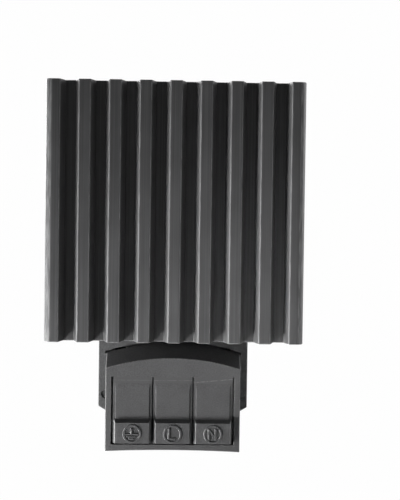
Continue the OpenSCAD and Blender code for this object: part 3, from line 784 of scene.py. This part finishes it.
@dataclass
class Sign:
    """A raised pole sign in its ring, laid out round its own middle in millimetres."""

    pole: Pole
    ring_r: float = 3.1
    stroke: float = 0.5
    rise: float = 0.45
    ring_rise: float = 0.36
    sunk: float = 0.1
    draft: float = 0.2
    mitre: float = 0.4
    letter_h: float = 3.7
    line_x: Span = (-1.5, 0.85)
    neutral_x: Span = (-1.6, 1.25)
    neutral_slant: float = 2.1875
    earth_x: float = -0.15
    earth_bar: float = 0.86
    earth_bars: tuple[Span, ...] = ((2.1, 0.9), (1.45, 2.75), (0.8, 4.6))
    ring_upright: float = 0.72
    stroke_upright: float = 0.88
    ring_steps: int = 96

    def strokes(self) -> list[list[Point]]:
        """Draws the sign inside the ring.

        Returns:
            The closed outline of each of its strokes.
        """
        half, thick = self.letter_h / 2, self.stroke
        if self.pole is Pole.LINE:
            left, right = self.line_x
            return [[(left, half), (left, -half), (right, -half), (right, thick - half),
                     (left + thick, thick - half), (left + thick, half)]]
        if self.pole is Pole.NEUTRAL:
            left, right = self.neutral_x
            slant = thick * self.neutral_slant
            return [[(left, half), (left, -half), (left + thick, -half),
                     (left + thick, half - slant), (right - thick, -half), (right, -half),
                     (right, half), (right - thick, half), (right - thick, slant - half),
                     (left + thick, half)]]
        bar = thick * self.earth_bar
        outlines = [self._bar(thick / 2, 0.0, half)]
        for half_w, drop in self.earth_bars:
            outlines.append(self._bar(half_w, -bar * drop, -bar * drop + bar))
        return outlines

    def _bar(self, half_w: float, low: float, high: float) -> list[Point]:
        """The outline of the earth sign's stem or of one of its bars."""
        left, right = self.earth_x - half_w, self.earth_x + half_w
        return [(left, high), (left, low), (right, low), (right, high)]

    def build(self, centre: Vector) -> bpy.types.Object:
        """Builds the sign.

        Args:
            centre: The middle of the sign on the pad's front, in metres.

        Returns:
            The sign's object.
        """
        work = bmesh.new()
        self._ring(work)
        # Painted highlight on the steep side walls of the ring
        mark_faces(work, PAINTED_HIGHLIGHT, lambda middle, normal: abs(normal.x) > self.ring_upright)
        for outline in self.strokes():
            self._stroke(work, outline)
        # Painted highlight on the steep side walls of the strokes
        mark_faces(work, PAINTED_HIGHLIGHT, lambda middle, normal: abs(normal.x) > self.stroke_upright)
        bmesh.ops.scale(work, vec=Vector((MM, MM, MM)), verts=work.verts)
        bmesh.ops.translate(work, vec=centre, verts=work.verts)
        return shown(work, f"{self.pole.value}_sign", smooth_below=35.0)

    def _ring(self, work: bmesh.types.BMesh) -> None:
        """Adds the ring: a drafted section turned about the sign's middle.

        Args:
            work: The mesh.
        """
        inner = self.ring_r - self.stroke
        section = [(inner - self.draft, self.sunk), (inner, -self.ring_rise),
                   (self.ring_r, -self.ring_rise), (self.ring_r + self.draft, self.sunk)]
        turns = []
        for step in range(self.ring_steps):
            angle = math.tau * step / self.ring_steps
            across, up = math.cos(angle), math.sin(angle)
            turns.append([work.verts.new((r * across, y, r * up)) for r, y in section])
        for step, here in enumerate(turns):
            there = turns[(step + 1) % self.ring_steps]
            for side in range(len(section)):
                after = (side + 1) % len(section)
                work.faces.new((here[side], here[after], there[after], there[side]))

    def _stroke(self, work: bmesh.types.BMesh, outline: list[Point]) -> None:
        """Adds one stroke: its outline in front, widened by the draft at its foot.

        Args:
            work: The mesh.
            outline: The stroke's corners.
        """
        front = [work.verts.new((x, -self.rise, z)) for x, z in outline]
        foot = []
        count = len(outline)
        for i, (x, z) in enumerate(outline):
            before, after = Vector(outline[i - 1]), Vector(outline[(i + 1) % count])
            here = Vector((x, z))
            along_in, along_out = (here - before).normalized(), (after - here).normalized()
            out = Vector((along_in.y, -along_in.x)) + Vector((along_out.y, -along_out.x))
            out = out / max(self.mitre, out.length_squared / 2)
            foot.append(work.verts.new((x + out.x * self.draft, self.sunk, z + out.y * self.draft)))
        work.faces.new(front)
        work.faces.new(list(reversed(foot)))
        for i in range(count):
            after = (i + 1) % count
            work.faces.new((front[after], front[i], foot[i], foot[after]))


@dataclass
class LeverSet:
    """The three press levers, each with its sign and its film hinge."""

    frame: dict
    edge: float = 0.08 * MM
    sign_lift: float = 3.6 * MM
    pad_h: float = 7.4 * MM
    pad_turn: Span = (0.5, 0.99)
    film_over: float = 1.1 * MM
    film_proud: float = 0.012 * MM
    film_t: float = 0.3 * MM
    film_rows: int = 12
    crease: dict[Pole, Span] = field(default_factory=lambda: {
        Pole.EARTH: (0.2, 0.0),
        Pole.LINE: (0.4, 0.01),
        Pole.NEUTRAL: (0.9, 0.09),
    })

    def build(self) -> None:
        """Builds and dresses each lever."""
        for pole in Pole:
            self._lever(pole)
            self._sign(pole)
            self._film(pole)

    def _lever(self, pole: Pole) -> None:
        """Builds a lever with its edges broken and the flanks of its pad marked for a painted
        highlight.

        Args:
            pole: The lever's pole.
        """
        work = welded(self.frame, pole.lever)
        break_edges(work, self.edge)
        pad_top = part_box(pole.lever)[0].z + self.pad_h
        least, most = self.pad_turn
        # Painted highlight on the flanks of the pad
        mark_faces(work, PAINTED_HIGHLIGHT,
                   lambda middle, normal: middle.z < pad_top and least < abs(normal.x) < most)
        dress(shown(work, f"{pole.lever}_moulding"), pole.lever, LEVER_PLASTIC, "lever_plastic",
              pole.lever)

    def _sign(self, pole: Pole) -> None:
        """Builds the raised sign on a lever's pad.

        Args:
            pole: The lever's pole.
        """
        low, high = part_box(pole.lever)
        centre = Vector(((low.x + high.x) / 2, low.y, low.z + self.sign_lift))
        dress(Sign(pole).build(centre), pole.lever, LEVER_PLASTIC, "lever_plastic")

    def _film(self, pole: Pole) -> None:
        """Builds a film hinge between the cover and its lever.

        Args:
            pole: The lever's pole.
        """
        low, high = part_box(pole.lever)
        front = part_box("terminal_cover")[0].y
        hinge = next(joint for joint in self.frame["joints"] if joint["child"] == pole.lever)
        middle = hinge["pos_m"][2]
        strength, slope = self.crease[pole]
        film = StressedFilm(f"{pole.value}_film", LEVER_PLASTIC.colour, LEVER_PLASTIC.roughness,
                            LEVER_PLASTIC.specular, crease_z=middle / MM, crease_slope=slope,
                            crease_x=(low.x + high.x) / 2 / MM, strength=strength)
        section = [(low.x, front - self.film_proud), (high.x, front - self.film_proud),
                   (high.x, front + self.film_t), (low.x, front + self.film_t)]
        work = bmesh.new()
        rows = []
        for step in range(self.film_rows + 1):
            z = middle + self.film_over * (1.0 - 2.0 * step / self.film_rows)
            rows.append([work.verts.new((x, y, z)) for x, y in section])
        for above, below in zip(rows, rows[1:]):
            for side in range(len(section)):
                after = (side + 1) % len(section)
                work.faces.new((above[side], above[after], below[after], below[side]))
        work.faces.new(rows[0])
        work.faces.new(list(reversed(rows[-1])))
        piece = shown(work, f"{pole.value}_film_hinge")
        piece.data.materials.append(film.material())
        gap = middle - high.z
        middle + gap
        middle - gap
        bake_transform(piece)
        LOG.info("%s bends from %s to %s", piece.name, HOUSING, pole.lever)


@dataclass
class Contacts:
    """The contact strips and clamp springs, which stay as packed."""

    frame: dict

    def build(self) -> None:
        """Paints each pole's strip and spring."""
        for pole in Pole:
            paint_node(self.frame, pole.contact, TINNED)
            paint_node(self.frame, pole.spring, SPRING_STEEL)


@dataclass
class Fasteners:
    """The screws, each with a cross recess in its head."""

    frame: dict
    arm: float = 1.75 * MM
    arm_t: float = 0.62 * MM
    depth: float = 1.1 * MM
    taper: float = 0.35
    level: float = 0.01 * MM
    smooth_below: float = 40.0

    def build(self) -> None:
        """Builds and dresses the screws."""
        self._recessed("clip_screws", BEHIND)
        self._recessed("base_screws", BELOW)
        self._recessed("earth_screw", BELOW)

    def _recessed(self, node: str, out: Vector) -> None:
        """Cuts a cross into each head of a node.

        Args:
            node: The screws' node.
            out: The way that the heads face.
        """
        low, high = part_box(node)
        reach = max(out.dot(low), out.dot(high))
        work = bmesh.new()
        work.from_mesh(self.frame["nodes"][node].data)
        bmesh.ops.remove_doubles(work, verts=work.verts, dist=WELD)
        tops = [vert.co.copy() for vert in work.verts if reach - out.dot(vert.co) < self.level]
        piece = shown(work, f"{node}_recessed", self.smooth_below)
        for centre in self._middles(tops):
            self._cut(piece, centre, out)
        dress(piece, HOUSING, SCREW_ZINC, "screw_steel", node)

    @staticmethod
    def _middles(points: list[Vector], apart: float = 6 * MM) -> list[Vector]:
        """Sorts points into groups that lie together.

        Args:
            points: The points.
            apart: Points nearer than this to a group's first one belong to it, in metres.

        Returns:
            The middle of each group.
        """
        groups: list[list[Vector]] = []
        for point in points:
            near = next((group for group in groups if (group[0] - point).length < apart), None)
            if near is None:
                groups.append([point])
            else:
                near.append(point)
        return [sum(group, Vector()) / len(group) for group in groups]

    def _cut(self, piece: bpy.types.Object, centre: Vector, out: Vector) -> None:
        """Cuts one cross recess.

        Args:
            piece: The screws.
            centre: The middle of the head.
            out: The way that the head faces.
        """
        a, t = self.arm, self.arm_t / 2
        cross = [(a, -t), (a, t), (t, t), (t, a), (-t, a), (-t, t),
                 (-a, t), (-a, -t), (-t, -t), (-t, -a), (t, -a), (t, -t)]
        turn = ABOVE.rotation_difference(out).to_matrix().to_4x4()
        at = Matrix.Translation(centre) @ turn
        work = bmesh.new()
        top = [work.verts.new(at @ Vector((x, y, self.depth))) for x, y in cross]
        foot = [work.verts.new(at @ Vector((x * self.taper, y * self.taper, -self.depth)))
                for x, y in cross]
        work.faces.new(top)
        work.faces.new(list(reversed(foot)))
        for i in range(len(cross)):
            after = (i + 1) % len(cross)
            work.faces.new((top[i], foot[i], foot[after], top[after]))
        cutter = shown(work, f"{piece.name}_cutter")
        bite = piece.modifiers.new("cross", "BOOLEAN")
        bite.operation = "DIFFERENCE"
        bite.solver = "EXACT"
        bite.object = cutter
        piece.modifiers.move(len(piece.modifiers) - 1, 0)
        seen = piece.evaluated_get(bpy.context.evaluated_depsgraph_get())
        mesh = bpy.data.meshes.new_from_object(seen)
        piece.modifiers.remove(bite)
        piece.data = mesh
        mesh.name = piece.name
        mesh.set_sharp_from_angle(angle=math.radians(self.smooth_below))
        bpy.data.objects.remove(cutter)


@dataclass
class RailClip:
    """The rail clip behind the extrusion."""

    frame: dict
    edge: float = 0.25 * MM

    def build(self) -> None:
        """Builds and dresses the clip."""
        work = welded(self.frame, "din_clip")
        break_edges(work, self.edge)
        dress(shown(work, "clip_moulding"), HOUSING, CLIP_PLASTIC, "clip_plastic", "din_clip")


@dataclass(frozen=True)
class Softbox:
    """An area lamp: where it stands, what it looks at, its size, power and spread in degrees."""

    name: str
    at: Triple
    look: Triple
    size: Point
    power: float
    spread: float = 180.0

    def build(self) -> None:
        """Adds the lamp to the scene."""
        lamp = bpy.data.lights.new(self.name, "AREA")
        lamp.shape = "RECTANGLE"
        lamp.size, lamp.size_y = self.size
        lamp.energy = self.power
        lamp.spread = math.radians(self.spread)
        stand = bpy.data.objects.new(self.name, lamp)
        stand.location = self.at
        aim = Vector(self.look) - Vector(self.at)
        stand.rotation_euler = aim.to_track_quat("-Z", "Y").to_euler()
        stand.visible_camera = False
        bpy.context.scene.collection.objects.link(stand)


LAMPS = (
    Softbox("side", (-0.3, -0.1, -0.07), (0.0, -0.05, -0.03), (0.08, 0.1), 0.2, 85.0),
    Softbox("side_low", (-0.3, -0.13, -0.13), (0.04, -0.045, -0.045), (0.05, 0.05), 0.006, 22.0),
    Softbox("left_front", (-0.25, -0.22, -0.23), (0.0, -0.046, -0.05), (0.08, 0.08), 0.115, 36.0),
    Softbox("front_low", (-0.2, -0.5, -0.3), (0.0, -0.045, -0.06), (0.1, 0.1), 0.004, 22.0),
    Softbox("front_right", (0.03, -0.4, -0.2), (0.045, -0.045, -0.04), (0.05, 0.05), 0.006, 16.0),
    Softbox("foot", (-0.1, -0.13, -0.25), (0.0, -0.045, -0.045), (0.06, 0.06), 0.008, 45.0),
    Softbox("rim", (-0.2, 0.0, -0.1), (-0.045, -0.045, -0.04), (0.05, 0.1), 0.015, 60.0),
    Softbox("back_fill", (-0.35, 0.6, 0.15), (0.0, 0.0, -0.02), (0.3, 0.3), 4.0),
    Softbox("right_fill", (0.6, 0.12, 0.1), (0.0, -0.02, -0.02), (0.3, 0.3), 3.0),
    Softbox("top_fill", (0.0, 0.45, 0.5), (0.0, -0.02, 0.0), (0.3, 0.3), 3.0),
)


@dataclass(frozen=True)
class PaperWhite(Finish):
    """The paper of the floor and the wall, which stays white for what looks at it directly."""

    shadow: float = 0.01

    def paint(self, sheet: NodeSheet) -> None:
        """Draws lit paper that keeps a share of its shadows where it is looked at.

        Args:
            sheet: The material's sheet.
        """
        lit = sheet.value("ShaderNodeBsdfDiffuse", inputs={"Color": (*self.colour, 1.0)})
        glow = sheet.value("ShaderNodeEmission", inputs={"Strength": 1.0})
        share = sheet.looked_at() * (1.0 - self.shadow)
        both = sheet.value("ShaderNodeMixShader", inputs={0: share, 1: lit, 2: glow})
        sheet.node("ShaderNodeOutputMaterial", inputs={"Surface": both})


PAPER = PaperWhite("paper_white", (0.8, 0.8, 0.8), 1.0)


@dataclass
class Studio:
    """White floor and round wall, soft lamps, and the camera at the photograph's place."""

    floor_drop: float = 0.4
    wall_r: float = 1.7
    wall_h: float = 1.6
    steps: int = 96
    ambient: Colour = (0.012, 0.012, 0.012)
    white: Colour = (1.0, 1.0, 1.0)
    eye_x: float = -2.8 * MM
    eye_z: float = 4.51 * MM
    eye_gap: float = 478.4 * MM
    yaw: float = -0.0239
    pitch: float = 0.0362
    roll: float = 0.0135
    focal_px: float = 1400.0
    image_px: float = 500.0
    sensor: float = 36.0
    lamps: tuple[Softbox, ...] = LAMPS

    def build(self) -> None:
        """Builds the stage, the lamps and the camera."""
        low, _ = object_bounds()
        self._stage(low.z - self.floor_drop)
        for lamp in self.lamps:
            lamp.build()
        self._world()
        self._camera()
        bpy.context.scene.view_settings.view_transform = "Standard"

    def _stage(self, level: float) -> None:
        """Adds the floor and the wall round it.

        Args:
            level: The floor's height.
        """
        work = bmesh.new()
        foot, head = [], []
        for step in range(self.steps):
            angle = math.tau * step / self.steps
            x, y = self.wall_r * math.cos(angle), self.wall_r * math.sin(angle)
            foot.append(work.verts.new((x, y, level)))
            head.append(work.verts.new((x, y, level + self.wall_h)))
        work.faces.new(foot)
        for step in range(self.steps):
            after = (step + 1) % self.steps
            work.faces.new((foot[step], foot[after], head[after], head[step]))
        stage = shown(work, "paper_stage", smooth_below=30.0)
        stage.data.materials.append(PAPER.material())
        stage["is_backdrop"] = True

    def _world(self) -> None:
        """Sets the dim light of the room, which looks as white as the paper."""
        world = bpy.data.worlds.new("room")
        world.use_nodes = True
        sheet = NodeSheet(world.node_tree)
        colour = sheet.mix(sheet.looked_at(), self.ambient, self.white)
        glow = sheet.value("ShaderNodeBackground", inputs={"Color": colour, "Strength": 1.0})
        sheet.node("ShaderNodeOutputWorld", inputs={"Surface": glow})
        bpy.context.scene.world = world

    def _camera(self) -> None:
        """Sets the camera at the photograph's viewing angle."""
        turn = (Matrix.Rotation(self.roll, 3, "Z") @ Matrix.Rotation(self.pitch, 3, "X")
                @ Matrix.Rotation(self.yaw, 3, "Y"))
        right, down, ahead = (Vector((row[0], row[2], -row[1])) for row in turn)
        lens = bpy.data.cameras.new("camera")
        lens.sensor_width = self.sensor
        lens.lens = self.focal_px * self.sensor / self.image_px
        eye = bpy.data.objects.new("camera", lens)
        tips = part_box("heatsink")[0].y
        place = Matrix((right, -down, -ahead)).transposed().to_4x4()
        place.translation = Vector((self.eye_x, tips - self.eye_gap, self.eye_z))
        eye.matrix_world = place
        bpy.context.scene.collection.objects.link(eye)
        bpy.context.scene.camera = eye


def main() -> None:
    """Builds the sub-assemblies in order, then the studio."""
    logging.basicConfig(level=logging.INFO, format="%(name)s: %(message)s")
    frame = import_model()
    for kind in (Extrusion, HeatingStack, TerminalHousing, LeverSet, Contacts, Fasteners, RailClip):
        kind(frame).build()
    Studio().build()


if __name__ == "__main__":
    main()
